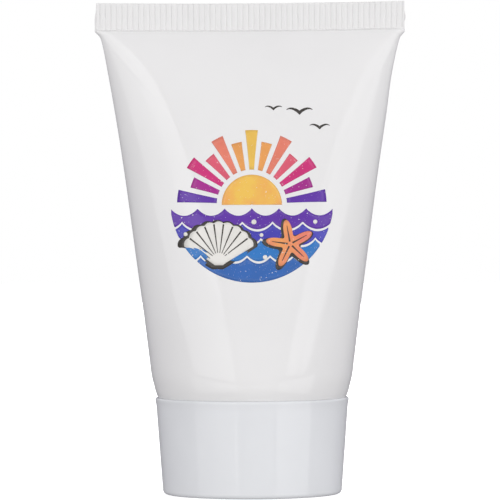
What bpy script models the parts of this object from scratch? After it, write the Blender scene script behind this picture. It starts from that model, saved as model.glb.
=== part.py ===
"""A squeeze tube standing on its wide screw cap, with the lotion, seal and liner inside.

Metres, +Z up. The tube's axis is Z, the crimp runs along X, and the cap stands on Z = 0.
"""

import math

import bmesh
import bpy

COLLECTION = "sunscreen_tube"

# Fits and cuts
CLEARANCE = 0.0003
OVERRUN = 0.001
MERGE = 0.000001

# Sleeve: a round tube whose far end is pressed flat and welded
TUBE_DIAMETER = 0.040
SLEEVE_LENGTH = 0.0808
SLEEVE_WALL = 0.0005
ROUND_BAND = 0.0036
END_CURVE_HEIGHT = 0.0065
END_CURVE_RADIUS = 0.015
FLATTEN_POWER = 0.75
BOW_SHARE = 0.35
BOW_POWER = 0.25
CRIMP_BOW_SHARE = 0.02

# Crimp: the welded end, pressed into upright ribs on both faces
CRIMP_HEIGHT = 0.0056
CRIMP_RIB_DEPTH = 0.00025
CRIMP_LEAD = 0.0001
CRIMP_ROOT = 0.0004
CRIMP_RIBS = 56

# Cap: a drafted skirt with a rim lip, an end wall on a standing ring, and a socket for the neck
CAP_HEIGHT = 0.0195
CAP_DRAFT = math.radians(4.2)
CAP_WALL = 0.0012
CAP_END_WALL = 0.0012
CAP_CORNER_RADIUS = 0.0009
STANDING_RING_WIDTH = 0.003
BASE_RECESS = 0.0004
RIM_LAND = 0.0002
RIM_EDGE = 0.0004
LIP_HEIGHT = 0.0015
LIP_PROUD = 0.0002
SEAT_DEPTH = 0.0014
SOCKET_WALL = 0.0012
SOCKET_LEAD_IN = 0.0004
SOCKET_TOP_GAP = 0.0005

# Head: the shoulder welded into the sleeve's round end, and the neck
NECK_DIAMETER = 0.0172
NECK_WALL = 0.0015
NECK_TIP_WALL = 0.0012
NECK_TIP_CHAMFER = 0.0004
ORIFICE_DIAMETER = 0.005
THREAD_ROOM = 0.0009
SHOULDER_SLOPE = math.radians(30)
SHOULDER_WALL = 0.0011

# Discs between the neck and the cap
LINER_THICKNESS = 0.001
SEAL_THICKNESS = 0.0002

# Lotion: the air left between it and the crimp
HEADSPACE = 0.014

# Facets
ARC_STEPS = 18
CORNER_STEPS = 4
CAP_STEPS = 60
HEAD_STEPS = 48
FLAT_RINGS = 16
CURVE_RINGS = 3
SEAT_POINTS = 3
RIB_POINTS = 3
RING_SPACING_POWER = 1.7
HALVINGS = 40
ZERO_DIGITS = 12
SHARP_ANGLE = math.radians(35)

# Heights worked out from the sizes, from the floor up
END_WALL_TOP = BASE_RECESS + CAP_END_WALL
LINER_BOTTOM = END_WALL_TOP + CLEARANCE
SEAL_BOTTOM = LINER_BOTTOM + LINER_THICKNESS + CLEARANCE
NECK_TIP = SEAL_BOTTOM + SEAL_THICKNESS + CLEARANCE
CAP_LEDGE = CAP_HEIGHT - SEAT_DEPTH
SLEEVE_END = CAP_LEDGE + CLEARANCE
ROUND_TOP = SLEEVE_END + ROUND_BAND
CURVE_TOP = SLEEVE_END + END_CURVE_HEIGHT
SLEEVE_TOP = SLEEVE_END + SLEEVE_LENGTH
CRIMP_BOTTOM = SLEEVE_TOP - CRIMP_HEIGHT
FLAT_START = CRIMP_BOTTOM - CRIMP_LEAD
LOTION_TOP = CRIMP_BOTTOM - HEADSPACE
HEAD_TOP = ROUND_TOP - CLEARANCE

# Radii worked out from the sizes
TUBE_RADIUS = TUBE_DIAMETER / 2
NECK_RADIUS = NECK_DIAMETER / 2
NECK_BORE = NECK_RADIUS - NECK_WALL
SOCKET_BORE = NECK_RADIUS + THREAD_ROOM


def clear_scene():
    for item in list(bpy.data.objects):
        bpy.data.objects.remove(item, do_unlink=True)


def collection(name):
    group = bpy.data.collections.new(name)
    bpy.context.scene.collection.children.link(group)
    return group


def material(name, color, roughness, metallic=0.0):
    """A plain Principled material; color is linear RGB."""
    result = bpy.data.materials.new(name)
    result.use_nodes = True
    shader = result.node_tree.nodes["Principled BSDF"]
    shader.inputs["Base Color"].default_value = (*color, 1.0)
    shader.inputs["Roughness"].default_value = roughness
    shader.inputs["Metallic"].default_value = metallic
    result.diffuse_color = (*color, 1.0)
    return result


def add_object(name, mesh, group, look=None, parent=None):
    item = bpy.data.objects.new(name, mesh)
    group.objects.link(item)
    if look:
        mesh.materials.append(look)
    if parent:
        item.parent = parent
        item.location = -parent.location
    return item


def cutter(name, mesh, group):
    item = add_object(name, mesh, group)
    item.hide_render = True
    item.display_type = "WIRE"
    return item


def sleeve_radius(z):
    """Radius that the sleeve's girth gives at a height; it curves in towards its round end."""
    below = max(CURVE_TOP - z, 0)
    return TUBE_RADIUS - (END_CURVE_RADIUS - math.sqrt(END_CURVE_RADIUS**2 - below**2))


def flatten_share(z):
    """How far down a height is, from 0 at the crimp to 1 at the round band."""
    share = (FLAT_START - z) / (FLAT_START - ROUND_TOP)
    return min(max(share, 0), 1)


def sleeve_half_width(z):
    """Half of the sleeve's width along the crimp."""
    depth = SLEEVE_WALL + (sleeve_radius(z) - SLEEVE_WALL) * flatten_share(z) ** FLATTEN_POWER
    return depth + (sleeve_radius(z) - depth) * math.pi / 2


def sleeve_bow(z):
    """How much the front and back walls bow: at 0 they are flat, at 1 the section is an ellipse."""
    return CRIMP_BOW_SHARE + (BOW_SHARE - CRIMP_BOW_SHARE) * flatten_share(z) ** BOW_POWER


def section(half_depth, half_width, bow, z):
    """One ring at a height: bowed front and back walls, and rounded edges at both sides."""
    spread = half_width - half_depth
    ring = []
    for step in range(2 * ARC_STEPS):
        angle = math.pi * step / ARC_STEPS
        across = round(math.cos(angle), ZERO_DIGITS)
        bowed = math.copysign(abs(across) ** bow, across)
        ring.append((half_depth * across + spread * bowed, half_depth * math.sin(angle), z))
    return ring


def girth(ring):
    return sum(math.dist(ring[i - 1], point) for i, point in enumerate(ring))


def sleeve_half_depth(z):
    """The sheet doesn't stretch, so the section is as deep as keeps the girth of the round tube."""
    radius = sleeve_radius(z)
    wanted = girth(section(radius, radius, 1, z))
    low, high = 0, radius
    for _ in range(HALVINGS):
        middle = (low + high) / 2
        if girth(section(middle, sleeve_half_width(z), sleeve_bow(z), z)) < wanted:
            low = middle
        else:
            high = middle
    return high


def sleeve_ring(z, inset):
    """The sleeve's section at a height, set in from its outer face."""
    return section(sleeve_half_depth(z) - inset, sleeve_half_width(z) - inset, sleeve_bow(z), z)


def heights(top, bottom, count, power=1.0):
    """Heights from top to bottom, without the top one; a power over 1 crowds them near the top."""
    return [top + (bottom - top) * (i / count) ** power for i in range(1, count + 1)]


def loft(name, rings):
    """A closed body through rings of equally many points, listed from the top down."""
    form = bmesh.new()
    loops = [[form.verts.new(point) for point in ring] for ring in rings]
    for upper, lower in zip(loops, loops[1:]):
        for i in range(len(upper)):
            form.faces.new((upper[i - 1], lower[i - 1], lower[i], upper[i]))
    form.faces.new(loops[0])
    form.faces.new(reversed(loops[-1]))
    bmesh.ops.recalc_face_normals(form, faces=form.faces)
    mesh = bpy.data.meshes.new(name)
    form.to_mesh(mesh)
    form.free()
    mesh.shade_smooth()
    mesh.set_sharp_from_angle(angle=SHARP_ANGLE)
    return mesh


def profile(name, points, closed):
    """A profile of (radius, height) points in the XZ plane, ready to be turned."""
    count = len(points)
    edges = [(i, i + 1) for i in range(count - 1)]
    if closed:
        edges.append((count - 1, 0))
    mesh = bpy.data.meshes.new(name)
    mesh.from_pydata([(radius, 0, z) for radius, z in points], edges, [])
    return mesh


def turn(item, steps):
    screw = item.modifiers.new("turned", "SCREW")
    screw.steps = steps
    screw.render_steps = steps
    screw.use_merge_vertices = True
    screw.merge_threshold = MERGE
    screw.use_smooth_shade = True


def disc(name, radius, bottom, thickness):
    form = bmesh.new()
    bmesh.ops.create_cone(
        form, cap_ends=True, segments=HEAD_STEPS, radius1=radius, radius2=radius, depth=thickness
    )
    bmesh.ops.translate(form, verts=form.verts, vec=(0, 0, bottom + thickness / 2))
    mesh = bpy.data.meshes.new(name)
    form.to_mesh(mesh)
    form.free()
    mesh.shade_smooth()
    mesh.set_sharp_from_angle(angle=SHARP_ANGLE)
    return mesh


def cut(item, tool, operation):
    change = item.modifiers.new(tool.name, "BOOLEAN")
    change.operation = operation
    change.solver = "EXACT"
    change.object = tool


def cap_rim_radius():
    return sleeve_radius(CAP_HEIGHT) + CLEARANCE + RIM_LAND


def skirt_radius(z):
    """The skirt's outer face below the rim lip."""
    drop = CAP_HEIGHT - LIP_HEIGHT - z
    return cap_rim_radius() - LIP_PROUD - drop * math.tan(CAP_DRAFT)


def shoulder_edge_radius(z):
    """The head's outer edge, inside the sleeve's wall."""
    return sleeve_radius(z) - SLEEVE_WALL - CLEARANCE


def shoulder_height(radius, lift=0.0):
    """Height of the cone's underside at a radius, or of the surface parallel to it, that far above."""
    fall = (shoulder_edge_radius(SLEEVE_END) - radius) * math.tan(SHOULDER_SLOPE)
    return SLEEVE_END - fall + lift / math.cos(SHOULDER_SLOPE)


def cap_corner():
    """The rounded corner between skirt and standing ring."""
    centre = skirt_radius(CAP_CORNER_RADIUS) - CAP_CORNER_RADIUS
    angles = [math.pi / 2 * step / CORNER_STEPS for step in range(CORNER_STEPS + 1)]
    return [
        (centre + CAP_CORNER_RADIUS * math.cos(a), CAP_CORNER_RADIUS - CAP_CORNER_RADIUS * math.sin(a))
        for a in angles
    ]


def cap_profile():
    """From the axis over the end wall, round the socket and the seat, down the skirt to the axis."""
    socket_top = shoulder_height(NECK_RADIUS) - SOCKET_TOP_GAP
    socket_outer = SOCKET_BORE + SOCKET_WALL
    seat = [CAP_LEDGE] + heights(SLEEVE_END, CAP_HEIGHT, SEAT_POINTS)
    corner = cap_corner()
    recess_radius = corner[-1][0] - STANDING_RING_WIDTH
    inside = [
        (0, END_WALL_TOP),
        (SOCKET_BORE, END_WALL_TOP),
        (SOCKET_BORE, socket_top - SOCKET_LEAD_IN),
        (SOCKET_BORE + SOCKET_LEAD_IN, socket_top),
        (socket_outer, socket_top),
        (socket_outer, END_WALL_TOP),
        (skirt_radius(END_WALL_TOP) - CAP_WALL, END_WALL_TOP),
        (skirt_radius(CAP_LEDGE) - CAP_WALL, CAP_LEDGE),
    ]
    rim = [(sleeve_radius(max(z, SLEEVE_END)) + CLEARANCE, z) for z in seat]
    outside = [
        (cap_rim_radius(), CAP_HEIGHT),
        (cap_rim_radius(), CAP_HEIGHT - RIM_EDGE),
        (cap_rim_radius() - LIP_PROUD, CAP_HEIGHT - LIP_HEIGHT),
    ]
    base = [(recess_radius, 0), (recess_radius, BASE_RECESS), (0, BASE_RECESS)]
    return inside + rim + outside + corner + base


def head_profile():
    """Down the outer side from the welded edge to the neck's tip, and back up inside."""
    edge = [(shoulder_edge_radius(z), z) for z in [HEAD_TOP] + heights(HEAD_TOP, SLEEVE_END, CURVE_RINGS)]
    edge_bore = shoulder_edge_radius(SLEEVE_END) - SHOULDER_WALL
    neck = [
        (NECK_RADIUS, shoulder_height(NECK_RADIUS)),
        (NECK_RADIUS, NECK_TIP + NECK_TIP_CHAMFER),
        (NECK_RADIUS - NECK_TIP_CHAMFER, NECK_TIP),
        (ORIFICE_DIAMETER / 2, NECK_TIP),
        (ORIFICE_DIAMETER / 2, NECK_TIP + NECK_TIP_WALL),
        (NECK_BORE, NECK_TIP + NECK_TIP_WALL),
        (NECK_BORE, shoulder_height(NECK_BORE, SHOULDER_WALL)),
    ]
    inside = [
        (edge_bore, shoulder_height(edge_bore, SHOULDER_WALL)),
        (shoulder_edge_radius(HEAD_TOP) - SHOULDER_WALL, HEAD_TOP),
    ]
    return edge + neck + inside


def crimp_outline():
    """The welded end seen from above: as wide as the flattened sleeve, ribbed on both long faces."""
    steps = CRIMP_RIBS * RIB_POINTS
    width = math.pi * TUBE_RADIUS
    face = []
    for i in range(steps + 1):
        wave = math.cos(2 * math.pi * i / RIB_POINTS)
        face.append((width * (i / steps) - width / 2, SLEEVE_WALL - wave * CRIMP_RIB_DEPTH / 2))
    return face + [(-x, -y) for x, y in face]


def crimp_mesh():
    """The crimp outline extruded up to the sleeve's top."""
    form = bmesh.new()
    outline = [form.verts.new((x, y, CRIMP_BOTTOM)) for x, y in crimp_outline()]
    bottom = form.faces.new(outline)
    swept = bmesh.ops.extrude_face_region(form, geom=[bottom], use_keep_orig=True)
    raised = [item for item in swept["geom"] if isinstance(item, bmesh.types.BMVert)]
    bmesh.ops.translate(form, verts=raised, vec=(0, 0, CRIMP_HEIGHT))
    bmesh.ops.recalc_face_normals(form, faces=form.faces)
    mesh = bpy.data.meshes.new("sleeve_crimp")
    form.to_mesh(mesh)
    form.free()
    return mesh


def sleeve_heights():
    """Ring heights under the crimp, closer together where the section changes fast."""
    flat = heights(FLAT_START, CURVE_TOP, FLAT_RINGS, RING_SPACING_POWER)
    curve = heights(CURVE_TOP, ROUND_TOP, CURVE_RINGS)
    band = heights(ROUND_TOP, SLEEVE_END, CURVE_RINGS)
    return flat + curve + band


def crimp_roots():
    """The rings where the two walls run up into the crimp."""
    half_width = sleeve_half_width(FLAT_START)
    return [
        section(SLEEVE_WALL - CRIMP_RIB_DEPTH, half_width, CRIMP_BOW_SHARE, CRIMP_BOTTOM + CRIMP_ROOT),
        section(SLEEVE_WALL, half_width, CRIMP_BOW_SHARE, CRIMP_BOTTOM + CRIMP_LEAD),
        section(SLEEVE_WALL, half_width, CRIMP_BOW_SHARE, FLAT_START),
    ]


def build_sleeve(parts, cutters, axis):
    look = material("sleeve_plastic", (0.82, 0.82, 0.83), 0.28)
    levels = sleeve_heights()
    outer = crimp_roots() + [sleeve_ring(z, 0) for z in levels]
    inner = [sleeve_ring(z, SLEEVE_WALL) for z in levels]
    inner.append([(x, y, z - OVERRUN) for x, y, z in inner[-1]])
    sleeve = add_object("tube_sleeve", loft("tube_sleeve", outer), parts, look, axis)
    cavity = cutter("sleeve_cavity", loft("sleeve_cavity", inner), cutters)
    crimp = cutter("sleeve_crimp", crimp_mesh(), cutters)
    cut(sleeve, cavity, "DIFFERENCE")
    cut(sleeve, crimp, "UNION")


def build_head(parts, axis):
    look = material("head_plastic", (0.78, 0.78, 0.77), 0.4)
    head = add_object("tube_head", profile("tube_head", head_profile(), True), parts, look, axis)
    turn(head, HEAD_STEPS)


def build_seal(parts, axis):
    look = material("seal_foil", (0.8, 0.8, 0.81), 0.3, 1.0)
    mesh = disc("orifice_seal", NECK_RADIUS, SEAL_BOTTOM, SEAL_THICKNESS)
    add_object("orifice_seal", mesh, parts, look, axis)


def build_liner(parts):
    look = material("liner_foam", (0.86, 0.86, 0.84), 0.8)
    mesh = disc("cap_liner", SOCKET_BORE - CLEARANCE, LINER_BOTTOM, LINER_THICKNESS)
    add_object("cap_liner", mesh, parts, look)


def build_cap(parts):
    look = material("cap_plastic", (0.74, 0.76, 0.78), 0.22)
    cap = add_object("screw_cap", profile("screw_cap", cap_profile(), False), parts, look)
    turn(cap, CAP_STEPS)


def build_lotion(parts, axis):
    """The lotion: the sleeve's inside up to the headspace, the funnel of the shoulder, and the neck."""
    look = material("lotion", (0.88, 0.84, 0.74), 0.45)
    gap = SLEEVE_WALL + CLEARANCE
    floor = HEAD_TOP + CLEARANCE
    levels = [LOTION_TOP] + heights(LOTION_TOP, CURVE_TOP, FLAT_RINGS // 2)
    levels += heights(CURVE_TOP, floor, CURVE_RINGS)
    head_inset = CLEARANCE + SHOULDER_WALL
    funnel_radius = shoulder_edge_radius(SLEEVE_END) - head_inset
    neck_radius = NECK_BORE - CLEARANCE
    funnel = [
        (shoulder_edge_radius(HEAD_TOP) - head_inset, floor),
        (funnel_radius, shoulder_height(funnel_radius, head_inset)),
        (neck_radius, shoulder_height(neck_radius, head_inset)),
        (neck_radius, NECK_TIP + NECK_TIP_WALL + CLEARANCE),
    ]
    rings = [sleeve_ring(z, gap) for z in levels] + [section(radius, radius, 1, z) for radius, z in funnel]
    add_object("sunscreen_fill", loft("sunscreen_fill", rings), parts, look, axis)


def main():
    clear_scene()
    parts = collection(COLLECTION)
    cutters = collection(COLLECTION + "_cutters")
    axis = bpy.data.objects.new("screw_axis", None)
    axis.empty_display_type = "SINGLE_ARROW"
    axis.location = (0, 0, NECK_TIP)
    parts.objects.link(axis)
    build_cap(parts)
    build_liner(parts)
    build_seal(parts, axis)
    build_head(parts, axis)
    build_sleeve(parts, cutters, axis)
    build_lotion(parts, axis)
    bpy.context.view_layer.update()


main()
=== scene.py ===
"""The looks of a squeeze tube that stands on its screw cap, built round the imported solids.

Metres, +Z up. The tube's axis is Z, the crimp runs along X, and the cap stands on Z = 0.
The print alone is given in millimetres, as seen from the front. Colours are 8-bit screen values.
"""

import math
import random

import bmesh
import bpy
import numpy as np
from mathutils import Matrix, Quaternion, Vector
from mathutils.bvhtree import BVHTree


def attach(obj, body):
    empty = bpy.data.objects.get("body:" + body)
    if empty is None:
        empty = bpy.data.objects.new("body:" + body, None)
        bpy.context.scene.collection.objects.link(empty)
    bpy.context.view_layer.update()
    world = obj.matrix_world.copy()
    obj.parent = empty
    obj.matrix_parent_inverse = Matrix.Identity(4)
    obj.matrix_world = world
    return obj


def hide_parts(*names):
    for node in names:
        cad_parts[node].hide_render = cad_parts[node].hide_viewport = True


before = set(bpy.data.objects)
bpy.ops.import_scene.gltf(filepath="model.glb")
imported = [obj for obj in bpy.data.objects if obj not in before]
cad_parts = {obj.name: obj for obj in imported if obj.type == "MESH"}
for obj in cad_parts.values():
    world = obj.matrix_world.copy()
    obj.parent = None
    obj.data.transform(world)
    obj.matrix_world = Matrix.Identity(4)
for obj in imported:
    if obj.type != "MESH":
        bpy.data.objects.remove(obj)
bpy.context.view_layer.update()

MM = 0.001

# Sleeve: the same sizes as the solids
CLEARANCE = 0.0003
TUBE_RADIUS = 0.020
SLEEVE_LENGTH = 0.0808
SLEEVE_WALL = 0.0005
ROUND_BAND = 0.0036
END_CURVE_HEIGHT = 0.0065
END_CURVE_RADIUS = 0.015
FLATTEN_POWER = 0.75
BOW_SHARE = 0.35
BOW_POWER = 0.25
CRIMP_BOW_SHARE = 0.02
CRIMP_HEIGHT = 0.0056
CRIMP_LEAD = 0.0001
ARC_STEPS = 18
HALVINGS = 40
ZERO_DIGITS = 12

# Cap, head and thread: the same sizes as the solids
CAP_HEIGHT = 0.0195
CAP_DRAFT = math.radians(4.2)
CAP_WALL = 0.0012
CAP_END_WALL = 0.0012
CAP_CORNER_RADIUS = 0.0009
STANDING_RING_WIDTH = 0.003
BASE_RECESS = 0.0004
RIM_LAND = 0.0002
LIP_HEIGHT = 0.0015
LIP_PROUD = 0.0002
SEAT_DEPTH = 0.0014
SOCKET_WALL = 0.0012
SOCKET_LEAD_IN = 0.0004
NECK_RADIUS = 0.0086
THREAD_ROOM = 0.0009
THREAD_PITCH = 0.003
SOCKET_TOP = 0.0126

# How finely the sleeve is divided
SLEEVE_POINTS = 400
FINE_SAMPLES = 500
TURN_WEIGHT = 0.6
BODY_RINGS = 110
BODY_RING_POWER = 1.5
END_RINGS = 10
CURL_RINGS = 8
INNER_RINGS = 24
SLEEVE_SHARP_ANGLE = math.radians(50)

# Sleeve detail that only the looks have
BOXY_SHARE = 0.7
BOXY_REACH = 0.1
END_ROUND = 0.00012
CURL_HEIGHT = 0.0014
CURL_DEPTH = 0.00008
PINCH_DEPTH = 0.00022
PINCH_REACH = 0.0025
BELLY_WIDTH = 0.00011
BELLY_HEIGHT = 0.050
BELLY_REACH = 0.014
TWIST = math.radians(-0.5)
TWIST_FADE = 0.014
RIGHT_HOLLOW_DEPTH = 0.00032
RIGHT_HOLLOW_HEIGHT = 0.0845
RIGHT_HOLLOW_REACH = 0.0062
RIGHT_WEB_IN = 0.00036
RIGHT_WEB_HEIGHT = 0.09306
RIGHT_WEB_REACH = 0.00026
RIGHT_WEB_OUT = 0.00018
RIGHT_WEB_LOW = 0.0923
RIGHT_WEB_LOW_REACH = 0.0006
RIGHT_POWER = 3
# Keeps the sheet just inside the solid
SHEET_SHY = 0.00001

# Folds from the crimp's corners, each from its upper to its lower end
CREASES = (
    ((-0.0302, 0.0924), (-0.0170, 0.0777)),
    ((0.0304, 0.0926), (0.0255, 0.0840)),
)
CREASE_HEIGHT = 0.00007
CREASE_WIDTH = 0.00035
CREASE_MIDDLE = 0.45
CREASE_EDGE_POWER = 30

# Unevenness: waves a metre in x and z, turn with the side, strength
DENT_WAVES = ((260, 90, 1, 1), (120, -210, 2, 1), (410, 330, 3, 0.5))
DENT_DEPTH = 0.000025
DENT_FADE = 0.02
DENT_EDGE_POWER = 6

# Crimp detail
RIBS = 56
RIB_PROFILE = (
    (-0.5, 0), (-0.40, 0), (-0.32, 0), (-0.27, 0.12), (-0.12, 0.55), (0.0, 0.90),
    (0.05, 1.0), (0.08, 0.90), (0.15, -0.60), (0.19, -0.50), (0.25, 0), (0.36, 0),
)
RIB_SEED = 7
RIB_UNEVENNESS = 0.08
GROOVE_DEPTH = 0.00062
RIB_RISE = 0.00012
BEAD_RISE = 0.00011
DIP_DEPTH = 0.00063
DIP_HEIGHT = -0.00008
WEB_WIDTH = 0.00060
WEB_REACH = 0.0007
WEB_HEIGHT = 0.00024
CRIMP_HALF_WIDTH = 0.03105
CRIMP_FOOT = 0.0933
CRIMP_RIGHT_IN = 0.00015
CRIMP_TILT = 0.00011
CRIMP_SAG = 0.00028
CRIMP_LEAN = 0.03
CRIMP_LEAN_START = 0.5
LIFT_FADE = 0.009
SCALLOP = 0.00007
FLASH_THICKNESS = 0.00014
FLASH_REACH = 0.00032
FLASH_START = 0.00003
FLASH_LEAST = 0.00004
FLASH_TAPER = 0.6
LEFT_FLASH_TOP = 0.61
LEFT_FLASH_STEEPNESS = 18
RIGHT_FLASH_SHARE = 0.90
RIGHT_FLASH_MIDDLE = 0.43
RIGHT_FLASH_REACH = 0.14

# Rows across the crimp.
# Bead: height over the foot, depth beyond the bead's, share of the ribs, share of the scallops.
BEAD_ROWS = (
    (-0.00002, -0.00006, 0, 1),
    (0.00005, 0, 0, 0.8),
    (0.00016, 0, 0, 0.4),
    (0.00022, -0.00003, 0.3, 0),
)
# Ribs: height over the foot.
RIB_ROWS = (0.00030, 0.00036, 0.00130, 0.00160, 0.00190, 0.00250, 0.00310, 0.00370)
# Crest: drop from the crest, depth short of the groove's, share of the ribs.
CREST_ROWS = (
    (0.00026, 0, 1),
    (0.00020, 0, 1),
    (0.00010, 0.00002, 0.9),
    (0.00003, 0.00009, 0.6),
    (0, 0.00020, 0.2),
)

# Cap detail
SEAT_GAP = 0.00005
SEAT_RINGS = 8
SEAT_SHY = 0.00006
RIM_ROUND = 0.00042
RIM_STEPS = 6
# Under the rim's rounding: how far in from the rim, how far down from the top.
RIM_POINTS = (
    (0.00001, 0.00055),
    (0.00005, 0.00075),
    (0.00010, 0.00100),
    (0.00016, 0.00130),
    (0.00021, 0.00165),
)
LIP_FOOT_IN = 0.00005
LIP_FOOT_DOWN = 0.0006
SKIRT_RINGS = 12
SKIRT_TOP_DOWN = 0.0012
SKIRT_END_UP = 0.0002
CORNER_STEPS = 8
RECESS_ROUND = 0.0003
RECESS_STEPS = 4
WALL_ROUND = 0.0003
SOCKET_ROUND = 0.0002
SOCKET_RIM_ROUND = 0.00015
SHY = 0.00001
# The gate mark under the cap: radius, how far it stands proud of the recess.
GATE_POINTS = ((0.0016, 0), (0.0015, 0.00015), (0.0006, 0.00020), (0, 0.00020))
CAP_STEPS = 192
MOULDED_SHARP_ANGLE = math.radians(30)

# Threads
THREAD_STEPS = 96
THREAD_TAPER_STEPS = 12
THREAD_LEAST = 0.02
THREAD_SINK = 0.00008
THREAD_FOOT = 0.00062
THREAD_CREST = 0.00022
THREAD_CREST_GROWTH = 0.0001
THREAD_START = 0.0054
NECK_THREAD_HEIGHT = 0.00055
NECK_THREAD_TURNS = 1.9
SOCKET_THREAD_HEIGHT = 0.00050
SOCKET_THREAD_TURNS = 1.5

# Heights and radii worked out from the sizes
CAP_LEDGE = CAP_HEIGHT - SEAT_DEPTH
SLEEVE_END = CAP_LEDGE + CLEARANCE
ROUND_TOP = SLEEVE_END + ROUND_BAND
CURVE_TOP = SLEEVE_END + END_CURVE_HEIGHT
SLEEVE_TOP = SLEEVE_END + SLEEVE_LENGTH
FLAT_START = SLEEVE_TOP - CRIMP_HEIGHT - CRIMP_LEAD
BODY_TOP = CRIMP_FOOT - WEB_HEIGHT
CURL_TOP = CAP_HEIGHT + CURL_HEIGHT
CRIMP_CREST = SLEEVE_TOP - CRIMP_TILT - CRIMP_SAG
END_WALL_TOP = BASE_RECESS + CAP_END_WALL
SOCKET_BORE = NECK_RADIUS + THREAD_ROOM
SOCKET_OUTER = SOCKET_BORE + SOCKET_WALL

# Materials: the palest and the deepest shade of each
SLEEVE_COLORS = ((239.6, 239.2, 239.2), (237.6, 237.2, 237.2))
CAP_COLORS = ((233.5, 235.5, 238.5), (230.5, 232.5, 235.5))
HEAD_COLORS = ((230, 230, 228), (227, 227, 225))
FOIL_COLORS = ((220, 221, 224), (196, 198, 202))
FOAM_COLORS = ((236, 236, 232), (205, 205, 200))
LOTION_COLORS = ((250, 247, 236), (246, 240, 222))
PLASTIC_IOR = 1.5
NOISE_LOW = 0.3
NOISE_HIGH = 0.7
CLOUD_SCALE = 70
GLOSS_SCALE = 160
SLEEVE_GLOSS = (0.03, 0.05)
SLEEVE_GRAIN = 420
SLEEVE_STREAK = (900, 900, 25)
CAP_GLOSS = (0.05, 0.07)
CAP_GRAIN = 500
SKIN_DEPTH = 0.000002
HEAD_GLOSS = (0.28, 0.34)
HEAD_GRAIN = 500
HEAD_SKIN_DEPTH = 0.000005

# Ink
OFF_WHITE = (240, 238, 233)
YELLOW = (246, 200, 92)
ORANGE = (244, 168, 94)
CORAL = (238, 134, 112)
PINK = (228, 96, 120)
MAGENTA = (214, 52, 126)
PURPLE = (172, 44, 146)
VIOLET = (100, 54, 172)
INDIGO = (74, 70, 186)
AZURE = (50, 124, 200)
BLUE = (56, 108, 186)
CHARCOAL = (66, 62, 58)
INK_FILM = 0.00003
INK_STEP = 0.00002
INK_SHADE = 0.9
INK_ROUGHNESS = 0.2
INK_SKIN_DEPTH = 0.000004
PROBE_START = -0.1
EMBLEM_X = 0.0001

# Print, in millimetres and degrees
SUN_Z = 58.4
SUN_RADIUS = 6.0
SUN_HOLE = 0.02
SUN_RINGS = 8
SUN_COLUMNS = 40
RAY_START = 7.0
RAY_LONG = 14.9
RAY_SHORT = 12.7
RAYS = 13
RAY_HALF_ANGLE = 4.9
RAY_NARROW = 0.78
RAY_ROWS = 8
RAY_COLUMNS = 6
RAY_COLORS = (YELLOW, ORANGE, CORAL, PINK, MAGENTA, PURPLE, VIOLET)
SEA_Z = 59.3
SEA_RADIUS = 16.3
SEA_SHY = 0.9995
SEA_GAP = 0.45
SEA_LEAST = 0.05
SEA_COLUMNS = 150
SEA_ROWS = 4
SEA_COLORS = (VIOLET, INDIGO, AZURE, BLUE)
WAVE_TOPS = (57.0, 53.9, 50.7, 47.4)
WAVE_SWELLS = (0.75, 0.8, 0.75, 0.65)
WAVE_LENGTHS = (5.4, 6.0, 5.4, 4.6)
WAVE_SHIFTS = (0.0, 1.9, 3.6, 1.0)
WAVE_POWER = 0.75
SHELL_PLACE = (-6.6, 47.4)
SHELL_RADIUS = 7.4
SHELL_MIDDLE = 0.45
SHELL_RIBS = 9
SHELL_FROM = 22
SHELL_SPREAD = 136
SHELL_STEPS = 72
SHELL_SCALLOP = 0.35
SHELL_BASE = 1.6
SHELL_HINGE = ((-1, -0.35), (-0.5, -0.95), (0.5, -0.95), (1, -0.35))
SHELL_LINE_START = 1.5
SHELL_LINE_SHORT = 1.7
SHELL_LINE_STEPS = 10
SHELL_LINE_WIDTH = 0.12
SHELL_LINE_GROWTH = 0.02
STAR_PLACE = (7.6, 50.6)
STAR_STEPS = 100
STAR_ARMS = 5
STAR_TURN = 100
STAR_CORE = 1.75
STAR_ARM = 3.1
STAR_POWER = 1.5
STAR_LINE_START = 0.5
STAR_LINE_LENGTH = 3.2
STAR_LINE_STEPS = 8
STAR_LINE_WIDTH = 0.34
STAR_LINE_THINNING = 0.03
OUTLINE_WIDTH = 0.55
OUTLINE_SHIFT = 0.25
OUTLINE_RINGS = 6
STAR_RINGS = 5
GULLS = ((9.6, 76.6, 2.6), (13.6, 73.6, 2.0), (4.4, 77.4, 1.7))
GULL_STEPS = 24
GULL_RISE = 0.55
GULL_RISE_POWER = 0.6
GULL_DROOP = 0.28
GULL_DROOP_POWER = 4
GULL_TIP_WIDTH = 0.04
GULL_BODY_WIDTH = 0.2
GULL_TAPER_POWER = 1.5
BUBBLES = (
    (0.4, 55.0, 0.5), (1.9, 52.4, 0.38), (12.6, 55.0, 0.42), (-13.2, 52.6, 0.4), (2.6, 48.0, 0.45),
)
BUBBLE_STEPS = 24
# Order of the inks, one over the other
FLAT_LEVEL, OUTLINE_LEVEL, FIGURE_LEVEL, LINE_LEVEL = 1, 2, 3, 4

# Camera, surround and floor
CAMERA_PLACE = (-0.0003, -1.0, 0.07078)
CAMERA_AIM = (-0.0003, 0.0, 0.04913)
CAMERA_LENS = 357.1
CAMERA_ROLL = math.radians(-0.23)
CAMERA_CLIP = (0.01, 20)
SENSOR = 36
FRONT_LOW_GLOW = 0.608
FRONT_HIGH_GLOW = 0.502
BACK_LOW_GLOW = 0.01
BACK_HIGH_GLOW = 0.60
FRONT_COLOR = (1.0, 0.99, 0.985)
BACK_COLOR = (0.985, 0.96, 1.06)
FLOOR_RADIUS = 1.5
FLOOR_POINTS = 96
FLOOR_DROP = 0.00005
FLOOR_TONES = (0.86, 0.88)

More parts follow.
